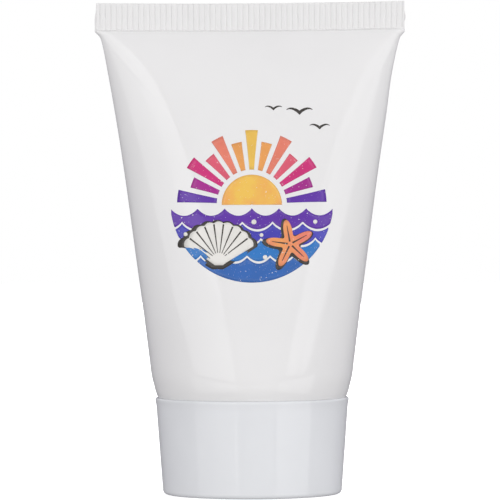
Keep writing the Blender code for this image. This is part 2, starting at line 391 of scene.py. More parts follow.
# Softboxes: azimuth (0 in front, positive to the right), half angle, lower and upper elevation,
# distance, glow, whether it lights, whether it is seen in reflections
LIGHT_CENTRE = 0.055
SOFTBOXES = (
    ("left_softbox", -45, 28, 0, 62, 1.2, 0.87, True, True),
    ("left_highlight", -26.5, 9.5, 14, 45, 1.19, 0.43, False, True),
    ("right_softbox", 41.5, 11.5, 16, 62, 1.2, 0.93, True, True),
    ("right_low_softbox", 44.5, 8.5, 1.6, 16, 0.6, 1.03, True, True),
    ("right_outer_softbox", 63, 10, -0.7, 62, 0.6, 1.22, True, True),
    ("left_low_panel", -45, 28, -30, -4, 1.2, 0.72, True, True),
    ("left_low_highlight", -33, 15, -30, -4, 1.19, 0.25, False, True),
    ("right_low_panel", 52.8, 23, -30, -4, 1.2, 1.10, True, True),
    ("front_low_panel", 3, 24, -35, -4, 1.2, 0.45, True, True),
    ("right_side_panel", 102, 24, -30, 45, 1.2, 0.14, True, True),
    ("back_softbox", 180, 18, -12, 60, 1.2, 2.6, True, False),
    ("back_left_highlight", -145, 25, 12, 42, 1.2, 0.4, False, True),
    ("back_right_highlight", 145, 25, 12, 42, 1.2, 0.4, False, True),
)


# Shapes of the solids

def sleeve_radius(z):
    below = max(CURVE_TOP - z, 0)
    return TUBE_RADIUS - (END_CURVE_RADIUS - math.sqrt(END_CURVE_RADIUS**2 - below**2))


def flatten_share(z):
    share = (FLAT_START - z) / (FLAT_START - ROUND_TOP)
    return min(max(share, 0), 1)


def sleeve_half_width(z):
    depth = SLEEVE_WALL + (sleeve_radius(z) - SLEEVE_WALL) * flatten_share(z) ** FLATTEN_POWER
    return depth + (sleeve_radius(z) - depth) * math.pi / 2


def sleeve_bow(z):
    """As in the solids, but boxier near the crimp: a flat panel between tight rounded ends."""
    share = flatten_share(z)
    bow = CRIMP_BOW_SHARE + (BOW_SHARE - CRIMP_BOW_SHARE) * share**BOW_POWER
    return bow * (1 - BOXY_SHARE * math.exp(-((share / BOXY_REACH) ** 2)))


def girth(half_depth, half_width, bow):
    angle = np.pi * np.arange(2 * ARC_STEPS + 1) / ARC_STEPS
    across = np.round(np.cos(angle), ZERO_DIGITS)
    x = half_depth * across + (half_width - half_depth) * np.sign(across) * np.abs(across) ** bow
    y = half_depth * np.sin(angle)
    return np.hypot(np.diff(x), np.diff(y)).sum()


def sleeve_half_depth(z):
    """The sheet doesn't stretch, so the section is as deep as keeps the girth of the round tube."""
    radius = sleeve_radius(z)
    wanted = girth(radius, radius, 1)
    low, high = 0, radius
    for _ in range(HALVINGS):
        middle = (low + high) / 2
        if girth(middle, sleeve_half_width(z), sleeve_bow(z)) < wanted:
            low = middle
        else:
            high = middle
    return high


def skirt_radius(z):
    drop = CAP_HEIGHT - LIP_HEIGHT - z
    return rim_radius() - LIP_PROUD - drop * math.tan(CAP_DRAFT)


def rim_radius():
    return sleeve_radius(CAP_HEIGHT) + CLEARANCE + RIM_LAND


# Mesh helpers

def link_mesh(name, form):
    """Puts the form in the scene as an object with smooth faces."""
    mesh = bpy.data.meshes.new(name)
    form.to_mesh(mesh)
    form.free()
    mesh.shade_smooth()
    item = bpy.data.objects.new(name, mesh)
    bpy.context.scene.collection.objects.link(item)
    return item


def finish_mesh(name, form, sharp_angle):
    bmesh.ops.recalc_face_normals(form, faces=form.faces)
    item = link_mesh(name, form)
    item.data.set_sharp_from_angle(angle=sharp_angle)
    return item


def add_loop(form, points):
    return [form.verts.new(point) for point in points]


def join_loops(form, upper, lower, closed=True):
    """Quads between two loops of equally many points."""
    first = 0 if closed else 1
    for i in range(first, len(upper)):
        form.faces.new((upper[i - 1], lower[i - 1], lower[i], upper[i]))


def zip_rows(form, fine, coarse):
    """Triangles between two open rows with different numbers of points, both from left to right."""
    i = j = 0
    while i < len(fine) - 1 or j < len(coarse) - 1:
        step_fine = j == len(coarse) - 1 or (
            i < len(fine) - 1 and fine[i + 1].co.x <= coarse[j + 1].co.x
        )
        if step_fine:
            form.faces.new((fine[i], fine[i + 1], coarse[j]))
            i += 1
        else:
            form.faces.new((fine[i], coarse[j + 1], coarse[j]))
            j += 1


def arc(centre_radius, centre_z, radius, start, end, steps):
    """Points of (radius, height) on an arc, with angles in degrees from outwards, upwards positive."""
    angles = [math.radians(start + (end - start) * i / steps) for i in range(steps + 1)]
    return [(centre_radius + radius * math.cos(a), centre_z + radius * math.sin(a)) for a in angles]


def lathe(name, points, steps, sharp_angle):
    """A closed turned body. The first and the last point lie on the axis."""
    form = bmesh.new()
    angles = [2 * math.pi * i / steps for i in range(steps)]
    loops = []
    for radius, z in points[1:-1]:
        ring = [(radius * math.cos(angle), radius * math.sin(angle), z) for angle in angles]
        loops.append(add_loop(form, ring))
    for upper, lower in zip(loops, loops[1:]):
        join_loops(form, upper, lower)
    for loop, (_, z) in ((loops[0], points[0]), (loops[-1], points[-1])):
        tip = form.verts.new((0, 0, z))
        for i in range(steps):
            form.faces.new((tip, loop[i - 1], loop[i]))
    return finish_mesh(name, form, sharp_angle)


def hump(value, middle, reach, power=2):
    """1 at the middle, falling off smoothly to both sides."""
    return math.exp(-(((value - middle) / reach) ** power))


def smooth(share):
    """Rises from 0 to 1 with level ends."""
    share = min(max(share, 0), 1)
    return share * share * (3 - 2 * share)


# Sleeve

def lift(x, z):
    """The crimp runs a little higher towards its ends; the wall below follows and fades out."""
    share = x / CRIMP_HALF_WIDTH
    rise = CRIMP_TILT * share + CRIMP_SAG * share**2
    return rise * smooth((z - (CRIMP_FOOT - LIFT_FADE)) / LIFT_FADE)


def pinch(z):
    """The sides draw in just below the crimp."""
    reach = max(FLAT_START - z, 0) / PINCH_REACH
    return PINCH_DEPTH * reach * math.exp(1 - reach)


def curl(z):
    """The sheet draws in just above the cap's rim."""
    below = min(max(CURL_TOP - z, 0), CURL_HEIGHT)
    return CURL_DEPTH * (below / CURL_HEIGHT) ** 2


def quarter(half_depth, half_width, bow, count):
    """From the front middle to the right end: x and distance from the middle plane."""
    spread = half_width - half_depth
    turned = np.sin(np.linspace(0, np.pi / 2, FINE_SAMPLES)) ** bow
    share = np.union1d(np.linspace(0, 1, FINE_SAMPLES), turned)
    around = share ** (1 / bow)
    x = half_depth * around + spread * share
    y = half_depth * np.sqrt(1 - around**2)
    steps = np.hypot(np.diff(x), np.diff(y))
    turns = np.abs(np.diff(np.arctan2(np.diff(y), np.diff(x))))
    walked = np.concatenate(([0], np.cumsum(steps))) / steps.sum()
    turned = np.concatenate(([0], np.cumsum(turns), [turns.sum()])) / (np.pi / 2)
    measure = walked + TURN_WEIGHT * turned
    even = np.linspace(0, measure[-1], count + 1)
    return np.interp(even, measure, x), np.interp(even, measure, y)


def full_ring(half_depth, half_width, bow):
    """From the left end over the front to the right end, and back over the back."""
    x, y = quarter(half_depth, half_width, bow, SLEEVE_POINTS // 4)
    front_x = np.concatenate((-x[::-1], x[1:]))
    front_y = -np.concatenate((y[::-1], y[1:]))
    return np.concatenate((front_x, front_x[-2:0:-1])), np.concatenate((front_y, -front_y[-2:0:-1]))


def crease(x, z):
    """Soft folds that run down from the crimp's corners."""
    height = 0
    for (x0, z0), (x1, z1) in CREASES:
        length = math.hypot(x1 - x0, z1 - z0)
        along = ((x - x0) * (x1 - x0) + (z - z0) * (z1 - z0)) / length**2
        aside = ((x - x0) * (z1 - z0) - (z - z0) * (x1 - x0)) / length
        fade = math.sqrt(max(1 - 2 * abs(along - CREASE_MIDDLE), 0))
        height += fade * hump(aside, 0, CREASE_WIDTH)
    return CREASE_HEIGHT * height


def dent(x, z, side):
    """Faint unevenness of a soft filled tube."""
    waves = (
        strength * math.sin(x * across + z * up + turn * side)
        for across, up, turn, strength in DENT_WAVES
    )
    return DENT_DEPTH * sum(waves)


def web(z):
    """The weld runs a little below the ribs, and there the sheet is still flat and wide."""
    return WEB_WIDTH * hump(z, BODY_TOP, WEB_REACH)


def twist(z):
    """The filled part faces a little to the left of the crimp."""
    return TWIST * smooth((CRIMP_FOOT - z) / TWIST_FADE)


def right_hollow(z):
    """On the right the side runs a little straighter below the crimp, and the weld ends lower."""
    hollow = RIGHT_HOLLOW_DEPTH * hump(z, RIGHT_HOLLOW_HEIGHT, RIGHT_HOLLOW_REACH)
    drawn_in = RIGHT_WEB_IN * hump(z, RIGHT_WEB_HEIGHT, RIGHT_WEB_REACH)
    filled_out = RIGHT_WEB_OUT * hump(z, RIGHT_WEB_LOW, RIGHT_WEB_LOW_REACH)
    return hollow + drawn_in - filled_out


def belly(z):
    """The filled middle stands out a little."""
    return BELLY_WIDTH * hump(z, BELLY_HEIGHT, BELLY_REACH)


def body_ring(z, inset, detail):
    """A ring of points round the sleeve, in by the inset; detail adds folds, dents and the curl."""
    inset += curl(z) if detail else 0
    depth = sleeve_half_depth(z) - SHEET_SHY - inset
    width = sleeve_half_width(z) - pinch(z) + web(z) + belly(z) - inset
    xs, ys = full_ring(depth, width, sleeve_bow(z))
    fade = min(max((z - CURVE_TOP) / DENT_FADE, 0), 1)
    turn_x, turn_y = math.cos(twist(z)), math.sin(twist(z))
    ring = []
    for x, y in zip(xs, ys):
        out = 0
        if detail:
            side = math.copysign(1, y)
            flatness = max(1 - (abs(x) / width) ** DENT_EDGE_POWER, 0)
            edge = max(1 - (abs(x) / width) ** CREASE_EDGE_POWER, 0)
            out = (crease(x, z) * edge + dent(x, z, side) * flatness) * fade
            out = min(out, abs(y) / 2) * side
        across = x - right_hollow(z) * max(x / width, 0) ** RIGHT_POWER
        deep = y + out
        ring.append((across * turn_x - deep * turn_y, across * turn_y + deep * turn_x, z + lift(x, z)))
    return ring


def heights(top, bottom, count, power=1.0):
    return [top + (bottom - top) * (i / count) ** power for i in range(1, count + 1)]


def flash(z, side):
    """How far the thin squeezed-out edge stands out at a height, on the left or the right."""
    share = (z - CRIMP_FOOT) / (CRIMP_CREST - CRIMP_FOOT)
    if side < 0:
        return FLASH_REACH / (1 + math.exp((share - LEFT_FLASH_TOP) * LEFT_FLASH_STEEPNESS))
    bulge = RIGHT_FLASH_SHARE * hump(share, RIGHT_FLASH_MIDDLE, RIGHT_FLASH_REACH, power=4)
    return FLASH_REACH * (1 - RIGHT_FLASH_SHARE + bulge)


def crimp_levels():
    """(height, base depth, how much of the ribs shows, how much of the scallops shows)."""
    bead = GROOVE_DEPTH + BEAD_RISE
    levels = [(CRIMP_FOOT + DIP_HEIGHT, DIP_DEPTH, 0, 1)]
    levels += [(CRIMP_FOOT + up, bead + deeper, *shares) for up, deeper, *shares in BEAD_ROWS]
    levels += [(CRIMP_FOOT + up, GROOVE_DEPTH, 1, 0) for up in RIB_ROWS]
    levels += [(CRIMP_CREST - down, GROOVE_DEPTH - less, ribs, 0) for down, less, ribs in CREST_ROWS]
    return levels


def crimp_row(level, side, rib_heights):
    """One row of points across the crimp, from left to right, on the front (-1) or back (1)."""
    z, base, ribs, scallops = level
    row = []
    places = [(rib, *point) for rib in range(RIBS) for point in RIB_PROFILE] + [(RIBS - 1, 0.5, 0)]
    for rib, share, height in places:
        x = CRIMP_HALF_WIDTH * (2 * (rib + 0.5 + share) / RIBS - 1)
        rise = height * rib_heights[rib]
        slant = CRIMP_LEAN * max(x / CRIMP_HALF_WIDTH - CRIMP_LEAN_START, 0) * (z - CRIMP_FOOT)
        depth = base + RIB_RISE * rise * ribs
        level_z = z + SCALLOP * (1 - rise) * scallops + lift(x, z)
        across = min(x + slant, CRIMP_HALF_WIDTH) - CRIMP_RIGHT_IN * max(x / CRIMP_HALF_WIDTH, 0)
        row.append((across, side * depth, level_z))
    thin = side * min(FLASH_THICKNESS, base)
    left, right = row[0], row[-1]
    return [
        (left[0] - FLASH_LEAST - flash(z, -1), thin * FLASH_TAPER, left[2]),
        (left[0] - FLASH_START, thin, left[2]),
        *row,
        (right[0] + FLASH_START, thin, right[2]),
        (right[0] + FLASH_LEAST + flash(z, 1), thin * FLASH_TAPER, right[2]),
    ]


def build_crimp(form, front_top, back_top):
    """The ribbed end, zipped on to the top ring of the body."""
    chance = random.Random(RIB_SEED)
    sides = {}
    for side in (-1, 1):
        rib_heights = [1 + chance.uniform(-RIB_UNEVENNESS, RIB_UNEVENNESS) for _ in range(RIBS)]
        sides[side] = [add_loop(form, crimp_row(level, side, rib_heights)) for level in crimp_levels()]
        for lower, upper in zip(sides[side], sides[side][1:]):
            join_loops(form, upper, lower, closed=False)
    for i in range(len(sides[-1]) - 1):
        for end in (0, -1):
            corner = [sides[-1][i][end], sides[1][i][end], sides[1][i + 1][end], sides[-1][i + 1][end]]
            form.faces.new(corner)
    join_loops(form, sides[-1][-1], sides[1][-1], closed=False)
    zip_rows(form, sides[-1][0], front_top)
    zip_rows(form, sides[1][0], back_top)
    for end in (0, -1):
        form.faces.new((sides[-1][0][end], sides[1][0][end], front_top[end]))


def build_sleeve():
    """Outer rings down from the crimp, inner rings back up, a lid over the hollow, and the crimp."""
    form = bmesh.new()
    half = SLEEVE_POINTS // 2
    levels = [BODY_TOP] + heights(BODY_TOP, CURVE_TOP, BODY_RINGS, BODY_RING_POWER)
    levels += heights(CURVE_TOP, CURL_TOP, END_RINGS)
    levels += heights(CURL_TOP, SLEEVE_END + END_ROUND, CURL_RINGS)
    outer = [add_loop(form, body_ring(z, 0, True)) for z in levels]
    outer.append(add_loop(form, body_ring(SLEEVE_END, END_ROUND, False)))
    inner_levels = [SLEEVE_END, SLEEVE_END + END_ROUND]
    inner_levels += heights(SLEEVE_END + END_ROUND, CURVE_TOP, END_RINGS)
    inner_levels += heights(CURVE_TOP, BODY_TOP - SLEEVE_WALL, INNER_RINGS)
    insets = [SLEEVE_WALL - END_ROUND] + [SLEEVE_WALL] * (len(inner_levels) - 1)
    inner = [add_loop(form, body_ring(z, inset, False)) for z, inset in zip(inner_levels, insets)]
    loops = outer + inner
    for upper, lower in zip(loops, loops[1:]):
        join_loops(form, upper, lower)
    last = inner[-1]
    for i in range(half):
        corner = [last[i], last[i + 1], last[-i - 1], last[-i]]
        if i == 0:
            corner = [last[0], last[1], last[-1]]
        elif i == half - 1:
            corner = [last[i], last[i + 1], last[-i]]
        form.faces.new(corner)
    top = outer[0]
    build_crimp(form, top[: half + 1], [top[0]] + top[:half - 1:-1])
    bmesh.ops.recalc_face_normals(form, faces=form.faces)
    tree = BVHTree.FromBMesh(form)
    return finish_mesh("sleeve", form, SLEEVE_SHARP_ANGLE), tree


# Cap and threads

def build_cap():
    rim = rim_radius()
    corner_centre = skirt_radius(CAP_CORNER_RADIUS) - CAP_CORNER_RADIUS
    recess = corner_centre - STANDING_RING_WIDTH
    inner_skirt = skirt_radius(END_WALL_TOP) - CAP_WALL
    inside = [
        (0, END_WALL_TOP),
        (SOCKET_BORE - SOCKET_ROUND, END_WALL_TOP),
        (SOCKET_BORE, END_WALL_TOP + SOCKET_ROUND),
        (SOCKET_BORE, SOCKET_TOP - SOCKET_LEAD_IN),
        (SOCKET_BORE + SOCKET_LEAD_IN, SOCKET_TOP),
        (SOCKET_OUTER - SOCKET_RIM_ROUND, SOCKET_TOP),
        (SOCKET_OUTER, SOCKET_TOP - SOCKET_RIM_ROUND),
        (SOCKET_OUTER, END_WALL_TOP + WALL_ROUND),
        (SOCKET_OUTER + WALL_ROUND, END_WALL_TOP),
        (inner_skirt - WALL_ROUND, END_WALL_TOP),
        (inner_skirt, END_WALL_TOP + WALL_ROUND),
        (skirt_radius(CAP_LEDGE) - CAP_WALL, CAP_LEDGE - SHY),
    ]
    seat = [
        (sleeve_radius(max(z, SLEEVE_END)) - curl(z) + SEAT_GAP, z)
        for z in np.linspace(CAP_LEDGE, CAP_HEIGHT - SEAT_SHY, SEAT_RINGS)
    ]
    lip = arc(rim - RIM_ROUND, CAP_HEIGHT - RIM_ROUND, RIM_ROUND, 90, 0, RIM_STEPS)
    lip += [(rim - inwards, CAP_HEIGHT - down) for inwards, down in RIM_POINTS]
    lip.append((rim - LIP_PROUD - LIP_FOOT_IN, CAP_HEIGHT - LIP_HEIGHT - LIP_FOOT_DOWN))
    skirt_top = CAP_HEIGHT - LIP_HEIGHT - SKIRT_TOP_DOWN
    skirt_end = CAP_CORNER_RADIUS + SKIRT_END_UP
    skirt = [(skirt_radius(z), z) for z in np.linspace(skirt_top, skirt_end, SKIRT_RINGS)]
    corner = arc(corner_centre, CAP_CORNER_RADIUS, CAP_CORNER_RADIUS, 0, -90, CORNER_STEPS)
    base = arc(recess + RECESS_ROUND, RECESS_ROUND, RECESS_ROUND, -90, -180, RECESS_STEPS)
    base.append((recess, BASE_RECESS - SHY))
    base += [(radius, BASE_RECESS - deeper) for radius, deeper in GATE_POINTS]
    points = inside + seat + lip + skirt + corner + base
    return lathe("cap_body", points, CAP_STEPS, MOULDED_SHARP_ANGLE)


def build_thread(name, root_radius, height, outward, start_z, turns):
    """A helical ridge with tapered ends; outward is 1 on a neck and -1 in a socket."""
    form = bmesh.new()
    steps = int(turns * THREAD_STEPS)
    foot = root_radius - outward * THREAD_SINK
    rows = []
    for i in range(steps + 1):
        angle = 2 * math.pi * i / THREAD_STEPS
        z = start_z + THREAD_PITCH * angle / (2 * math.pi)
        taper = min(1, i / THREAD_TAPER_STEPS, (steps - i) / THREAD_TAPER_STEPS)
        crest = root_radius + outward * height * max(taper, THREAD_LEAST)
        land = THREAD_CREST + THREAD_CREST_GROWTH * taper
        shape = [(foot, -THREAD_FOOT), (crest, -land), (crest, land), (foot, THREAD_FOOT)]
        row = [(radius * math.cos(angle), radius * math.sin(angle), z + up) for radius, up in shape]
        rows.append(add_loop(form, row))
    for upper, lower in zip(rows, rows[1:]):
        join_loops(form, upper, lower)
    form.faces.new(rows[0])
    form.faces.new(rows[-1])
    return finish_mesh(name, form, MOULDED_SHARP_ANGLE)


# Materials

def linear(red, green, blue):
    """A colour given as 8-bit screen values, as linear shares."""
    shares = (value / 255 for value in (red, green, blue))
    return tuple(s / 12.92 if s <= 0.04045 else ((s + 0.055) / 1.055) ** 2.4 for s in shares)


def color_sockets(sockets):
    """A Mix node has sockets of one name for each kind of value; these are the ones for colours."""
    return [socket for socket in sockets if socket.type == "RGBA"]


class Look:
    """A Principled material and short calls to wire its nodes."""

    def __init__(self, name, **uniform):
        self.material = bpy.data.materials.new(name)
        self.material.use_nodes = True
        self.nodes = self.material.node_tree.nodes
        self.links = self.material.node_tree.links
        self.shader = self.nodes["Principled BSDF"]
        for key, value in uniform.items():
            self.shader.inputs[key.replace("_", " ")].default_value = value
        self.place = self.nodes.new("ShaderNodeTexCoord").outputs["Object"]

    def stretched(self, scale):
        mapping = self.nodes.new("ShaderNodeMapping")
        mapping.inputs["Scale"].default_value = scale
        self.links.new(self.place, mapping.inputs["Vector"])
        return mapping.outputs["Vector"]

    def noise(self, scale, detail, place=None, roughness=0.5):
        node = self.nodes.new("ShaderNodeTexNoise")
        node.inputs["Scale"].default_value = scale
        node.inputs["Detail"].default_value = detail
        node.inputs["Roughness"].default_value = roughness
        self.links.new(place or self.place, node.inputs["Vector"])
        return node.outputs["Fac"]

    def ramp(self, source, low, low_color, high, high_color):
        node = self.nodes.new("ShaderNodeValToRGB")
        first, last = node.color_ramp.elements
        first.position, first.color = low, (*low_color, 1)
        last.position, last.color = high, (*high_color, 1)
        self.links.new(source, node.inputs["Fac"])
        return node.outputs["Color"]

    def span(self, source, low, high):
        """A value that runs from low to high over the usual reach of a noise."""
        node = self.nodes.new("ShaderNodeMapRange")
        node.inputs["From Min"].default_value = NOISE_LOW
        node.inputs["From Max"].default_value = NOISE_HIGH
        node.inputs["To Min"].default_value = low
        node.inputs["To Max"].default_value = high
        self.links.new(source, node.inputs["Value"])
        return node.outputs["Result"]

    def mix(self, share, first, second):
        """The first colour is a socket, the second a plain colour."""
        node = self.nodes.new("ShaderNodeMix")
        node.data_type = "RGBA"
        self.links.new(share, node.inputs["Factor"])
        sockets = color_sockets(node.inputs)
        self.links.new(first, sockets[0])
        sockets[1].default_value = (*second, 1)
        return color_sockets(node.outputs)[0]

    def bump(self, source, depth, below=None):
        node = self.nodes.new("ShaderNodeBump")
        node.inputs["Distance"].default_value = depth
        self.links.new(source, node.inputs["Height"])
        if below:
            self.links.new(below, node.inputs["Normal"])
        return node.outputs["Normal"]

    def set(self, **linked):
        for key, socket in linked.items():
            self.links.new(socket, self.shader.inputs[key.replace("_", " ")])
        return self.material


def moulded(name, colors, gloss, grain, depth, streak=None):
    """Moulded or extruded plastic: faint clouding, uneven gloss and a fine skin."""
    look = Look(name, IOR=PLASTIC_IOR)
    pale, deep = (linear(*color) for color in colors)
    cloud = look.noise(scale=CLOUD_SCALE, detail=3)
    color = look.ramp(cloud, low=0.35, low_color=deep, high=0.65, high_color=pale)
    roughness = look.span(look.noise(scale=GLOSS_SCALE, detail=3), *gloss)
    skin = look.bump(look.noise(scale=grain, detail=3), depth)
    if streak:
        lines = look.noise(scale=1, detail=2, place=look.stretched(streak))
        skin = look.bump(lines, depth, skin)
    return look.set(Base_Color=color, Roughness=roughness, Normal=skin)


def foil_look():
    look = Look("seal_foil_look", Metallic=1.0)
    pale, deep = (linear(*color) for color in FOIL_COLORS)
    tone = look.noise(scale=300, detail=2)
    rolling = look.noise(scale=900, detail=4)
    creases = look.noise(scale=1200, detail=2)
    return look.set(
        Base_Color=look.ramp(tone, low=0.3, low_color=deep, high=0.7, high_color=pale),
        Roughness=look.span(rolling, low=0.25, high=0.42),
        Normal=look.bump(creases, depth=0.00002),
    )


def foam_look():
    look = Look("liner_foam_look")
    pale, deep = (linear(*color) for color in FOAM_COLORS)
    cells = look.noise(scale=2400, detail=3)
    return look.set(
        Base_Color=look.ramp(cells, low=0.35, low_color=deep, high=0.65, high_color=pale),
        Roughness=look.span(cells, low=0.7, high=0.9),
        Normal=look.bump(cells, depth=0.00005),
    )


def lotion_look():
    look = Look("lotion_look", Subsurface_Weight=0.15, Subsurface_Scale=0.002)
    pale, deep = (linear(*color) for color in LOTION_COLORS)
    swirl = look.noise(scale=140, detail=4)
    return look.set(
        Base_Color=look.ramp(swirl, low=0.3, low_color=deep, high=0.7, high_color=pale),
        Roughness=look.span(swirl, low=0.25, high=0.45),
        Normal=look.bump(swirl, depth=0.0002),
    )


def ink(name, color, second=None):
    """Screen print ink with fine worn specks."""
    look = Look(name, IOR=PLASTIC_IOR, Roughness=INK_ROUGHNESS)
    first = linear(*color)
    last = linear(*second) if second else tuple(share * INK_SHADE for share in first)
    cloud = look.noise(scale=220, detail=3)
    shade = look.ramp(cloud, low=0.35, low_color=first, high=0.7, high_color=last)
    wear = look.noise(scale=2600, detail=4, roughness=0.65)
    specks = look.ramp(wear, low=0.655, low_color=(0, 0, 0), high=0.685, high_color=(1, 1, 1))
    worn = look.mix(specks, shade, linear(*OFF_WHITE))
    return look.set(Base_Color=worn, Normal=look.bump(look.noise(scale=700, detail=2), INK_SKIN_DEPTH))


# Print

class Ink:
    """Thin films of ink laid on the front of the sleeve, given in millimetres seen from the front."""

    def __init__(self, tree):
        self.tree = tree

    def put(self, form, point, level):
        start = Vector((point[0] * MM + EMBLEM_X, PROBE_START, point[1] * MM))
        place, normal, _, _ = self.tree.ray_cast(start, Vector((0, 1, 0)))
        if normal.y > 0:
            normal = -normal
        return form.verts.new(place + normal * level * INK_STEP)

    def grid(self, form, rows, level, closed=False):
        made = [[self.put(form, point, level) for point in row] for row in rows]
        for upper, lower in zip(made, made[1:]):
            join_loops(form, upper, lower, closed)
        return made

    def blob(self, form, centre, outline, level, rings):
        """A filled outline round a centre."""
        rows = [
            [(centre[0] + dx * i / rings, centre[1] + dz * i / rings) for dx, dz in outline]
            for i in range(1, rings + 1)
        ]
        made = self.grid(form, rows, level, closed=True)
        middle = self.put(form, centre, level)
        for i in range(len(outline)):
            form.faces.new((middle, made[0][i - 1], made[0][i]))

    def stroke(self, form, points, widths, level):
        """A line with a width of its own at each point."""
        rows = []
        for i, (x, z) in enumerate(points):
            ahead = points[min(i + 1, len(points) - 1)]
            behind = points[max(i - 1, 0)]
            dx, dz = ahead[0] - behind[0], ahead[1] - behind[1]
            length = math.hypot(dx, dz)
            across = (-dz / length * widths[i] / 2, dx / length * widths[i] / 2)
            rows.append([(x + across[0] * side, z + across[1] * side) for side in (-1, 0, 1)])
        self.grid(form, rows, level)

    def done(self, name, form, color, second=None):
        """Turns the film's faces to the front, gives it thickness and ink, and joins it to the tube."""
        bmesh.ops.recalc_face_normals(form, faces=form.faces)
        for face in form.faces:
            if face.normal.y > 0:
                face.normal_flip()
        item = link_mesh(name, form)
        film = item.modifiers.new("film", "SOLIDIFY")
        film.thickness = INK_FILM
        film.offset = -1
        item.data.materials.append(ink(name + "_ink", color, second))
        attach(item, "tube")


def polar(radius, degrees):
    angle = math.radians(degrees)
    return radius * math.cos(angle), radius * math.sin(angle)


def shifted(points, place):
    return [(place[0] + x, place[1] + z) for x, z in points]


def ray(pen, form, index):
    """One ray of the sun, a wedge that widens outwards."""
    middle = 180 * (index + 0.5) / RAYS
    end = RAY_LONG if index % 2 == 0 else RAY_SHORT
    rows = []
    for i in range(RAY_ROWS + 1):
        share = i / RAY_ROWS
        spread = RAY_HALF_ANGLE * (RAY_NARROW + (1 - RAY_NARROW) * share)
        angles = [middle + spread * (2 * j / RAY_COLUMNS - 1) for j in range(RAY_COLUMNS + 1)]
        radius = RAY_START + (end - RAY_START) * share
        rows.append(shifted([polar(radius, angle) for angle in angles], (0, SUN_Z)))
    pen.grid(form, rows, FLAT_LEVEL)


def print_sun(pen):
    for step, color in enumerate(RAY_COLORS):
        form = bmesh.new()
        for index in {RAYS // 2 - step, RAYS // 2 + step}:
            ray(pen, form, index)
        pen.done(f"print_rays_{step + 1}", form, color)
    form = bmesh.new()
    rows = []
    for i in range(SUN_RINGS + 1):
        radius = SUN_RADIUS * (SUN_HOLE + (1 - SUN_HOLE) * i / SUN_RINGS)
        half_circle = [polar(radius, 180 * j / SUN_COLUMNS) for j in range(SUN_COLUMNS + 1)]
        rows.append(shifted(half_circle, (0, SUN_Z)))
    pen.grid(form, rows, FLAT_LEVEL)
    pen.done("print_sun", form, YELLOW, ORANGE)


def swell(band, x):
    """Upper edge of a band of sea: sharp crests and round troughs."""
    turn = abs(math.sin(math.pi * (x + WAVE_SHIFTS[band]) / WAVE_LENGTHS[band]))
    return WAVE_TOPS[band] + WAVE_SWELLS[band] * (1 - 2 * turn**WAVE_POWER)


def print_sea(pen):
    for band, color in enumerate(SEA_COLORS):
        form = bmesh.new()
        rows = []
        for i in range(SEA_COLUMNS + 1):
            x = SEA_RADIUS * SEA_SHY * (2 * i / SEA_COLUMNS - 1)
            low = SEA_Z - math.sqrt(SEA_RADIUS**2 - x**2)
            if band < len(WAVE_TOPS) - 1:
                low = max(low, swell(band + 1, x) + SEA_GAP)
            high = swell(band, x)
            if high - low > SEA_LEAST:
                rows.append([(x, low + (high - low) * j / SEA_ROWS) for j in range(SEA_ROWS + 1)])
        pen.grid(form, rows, FLAT_LEVEL)
        pen.done(f"print_sea_{band + 1}", form, color)


def shell_outline(grow):
    """A scallop seen from above, round its middle; grow widens it for an outline."""
    points = []
    for j in range(SHELL_STEPS + 1):
        scallop = SHELL_SCALLOP * abs(math.sin(math.pi * SHELL_RIBS * j / SHELL_STEPS))
        degrees = SHELL_FROM + SHELL_SPREAD * j / SHELL_STEPS
        x, z = polar(SHELL_RADIUS + scallop + grow, degrees)
        points.append((x * (1 + grow / SHELL_RADIUS), z))
    points += [(across * (SHELL_BASE + grow), up - grow) for across, up in SHELL_HINGE]
    return shifted(points, (0, -SHELL_RADIUS * SHELL_MIDDLE))


def star_outline(grow):
    points = []
    for j in range(STAR_STEPS):
        turn = 2 * math.pi * j / STAR_STEPS
        arm = ((1 + math.cos(STAR_ARMS * (turn - math.radians(STAR_TURN)))) / 2) ** STAR_POWER
        radius = STAR_CORE + STAR_ARM * arm + grow
        points.append((radius * math.cos(turn), radius * math.sin(turn)))
    return points


def gull(size):
    """Points from wing tip to wing tip, and the width of the stroke at each."""
    wings, widths = [], []
    for j in range(GULL_STEPS + 1):
        share = 2 * j / GULL_STEPS - 1
        rise = GULL_RISE * abs(share) ** GULL_RISE_POWER - GULL_DROOP * share**GULL_DROOP_POWER
        wings.append((size * share, size * rise))
        widths.append(size * (GULL_TIP_WIDTH + GULL_BODY_WIDTH * (1 - abs(share) ** GULL_TAPER_POWER)))
    return wings, widths


def print_outlines(pen, shell_middle):
    """Dark shapes under the shell and the star, and the gulls."""
    form = bmesh.new()
    for (x, z), outline in ((shell_middle, shell_outline), (STAR_PLACE, star_outline)):
        centre = (x - OUTLINE_SHIFT, z - OUTLINE_SHIFT)
        pen.blob(form, centre, outline(OUTLINE_WIDTH), OUTLINE_LEVEL, OUTLINE_RINGS)
    for x, z, size in GULLS:
        wings, widths = gull(size)
        pen.stroke(form, shifted(wings, (x, z)), widths, OUTLINE_LEVEL)
    pen.done("print_outlines", form, CHARCOAL)


